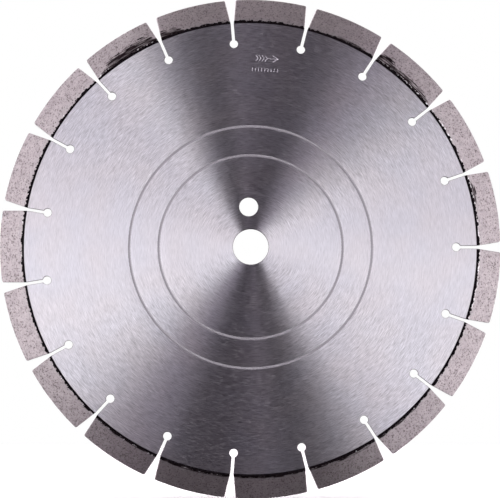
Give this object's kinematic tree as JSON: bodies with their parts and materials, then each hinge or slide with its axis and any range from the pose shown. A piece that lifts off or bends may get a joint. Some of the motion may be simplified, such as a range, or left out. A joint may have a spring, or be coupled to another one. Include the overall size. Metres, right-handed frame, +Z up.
{
  "type": "diamond blade",
  "caption": "Segmented diamond saw blade: flat steel disc with keyhole gullets, laser-welded grinding segments round the rim, an arbor bore and an offset drive-pin hole.",
  "frame": {"origin": "centre of the arbor bore, half way through the steel core", "axes": "+Y along the blade's axis, away from the marked face, which looks towards -Y; +Z up, with the drive-pin hole above the bore and the rotation arrow near the top; the arrow points towards +X"},
  "size_m": [0.3555, 0.0032, 0.3556],
  "materials": {
    "core_steel": "fine circular grinding",
    "weld_oxide": "dark rough oxide",
    "backing_bond": "ground, close grained",
    "diamond_bond": "ground sintered metal bond with diamond grit and pits"
  },
  "bodies": {
    "root": {"steel_core": "core_steel", "weld_seam_01": "weld_oxide", "segment_backing_01": "backing_bond", "diamond_segment_01": "diamond_bond", "weld_seam_02": "weld_oxide", "segment_backing_02": "backing_bond", "diamond_segment_02": "diamond_bond", "weld_seam_03": "weld_oxide", "segment_backing_03": "backing_bond", "diamond_segment_03": "diamond_bond", "weld_seam_04": "weld_oxide", "segment_backing_04": "backing_bond", "diamond_segment_04": "diamond_bond", "weld_seam_05": "weld_oxide", "segment_backing_05": "backing_bond", "diamond_segment_05": "diamond_bond", "weld_seam_06": "weld_oxide", "segment_backing_06": "backing_bond", "diamond_segment_06": "diamond_bond", "weld_seam_07": "weld_oxide", "segment_backing_07": "backing_bond", "diamond_segment_07": "diamond_bond", "weld_seam_08": "weld_oxide", "segment_backing_08": "backing_bond", "diamond_segment_08": "diamond_bond", "weld_seam_09": "weld_oxide", "segment_backing_09": "backing_bond", "diamond_segment_09": "diamond_bond", "weld_seam_10": "weld_oxide", "segment_backing_10": "backing_bond", "diamond_segment_10": "diamond_bond", "weld_seam_11": "weld_oxide", "segment_backing_11": "backing_bond", "diamond_segment_11": "diamond_bond", "weld_seam_12": "weld_oxide", "segment_backing_12": "backing_bond", "diamond_segment_12": "diamond_bond", "weld_seam_13": "weld_oxide", "segment_backing_13": "backing_bond", "diamond_segment_13": "diamond_bond", "weld_seam_14": "weld_oxide", "segment_backing_14": "backing_bond", "diamond_segment_14": "diamond_bond", "weld_seam_15": "weld_oxide", "segment_backing_15": "backing_bond", "diamond_segment_15": "diamond_bond", "weld_seam_16": "weld_oxide", "segment_backing_16": "backing_bond", "diamond_segment_16": "diamond_bond", "weld_seam_17": "weld_oxide", "segment_backing_17": "backing_bond", "diamond_segment_17": "diamond_bond", "weld_seam_18": "weld_oxide", "segment_backing_18": "backing_bond", "diamond_segment_18": "diamond_bond", "weld_seam_19": "weld_oxide", "segment_backing_19": "backing_bond", "diamond_segment_19": "diamond_bond"}
  },
  "joints": []
}
